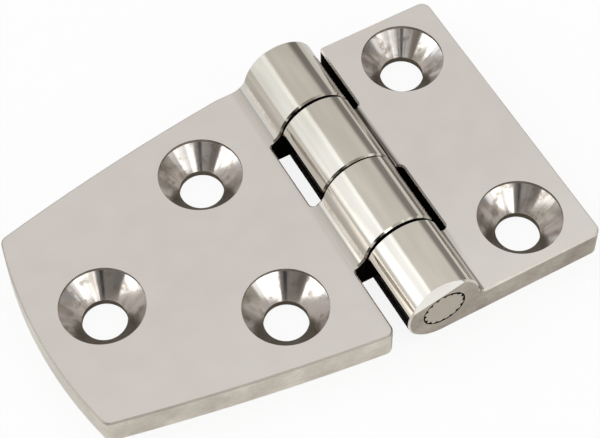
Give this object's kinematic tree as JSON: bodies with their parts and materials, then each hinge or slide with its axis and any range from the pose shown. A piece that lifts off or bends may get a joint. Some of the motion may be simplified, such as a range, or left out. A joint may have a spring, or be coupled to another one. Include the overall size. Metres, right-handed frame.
{
  "type": "boat door hinge",
  "caption": "Cast stainless boat door hinge: tapered long leaf and short rectangular leaf on a knuckled barrel, countersunk for flat-head screws.",
  "frame": {"origin": "on the back plane, below the middle of the opened hinge", "axes": "+X from the long leaf to the short leaf, +Y along the pin to its plain end, +Z out of the countersunk faces"},
  "size_m": [0.0604, 0.038, 0.009],
  "materials": {
    "long_leaf_steel": "polished casting with satin edges",
    "short_leaf_steel": "polished casting with satin edges",
    "pin_steel": "ground flush"
  },
  "bodies": {
    "frame_side": {"short_leaf": "short_leaf_steel", "hinge_pin": "pin_steel"},
    "door_side": {"long_leaf": "long_leaf_steel"}
  },
  "joints": [
    {"name": "leaf_hinge", "type": "hinge", "parent": "frame_side", "child": "door_side", "pos_m": [0.0096, 0, 0.0045], "axis": [0, 1, 0], "range_deg": [-102, 182]}
  ]
}
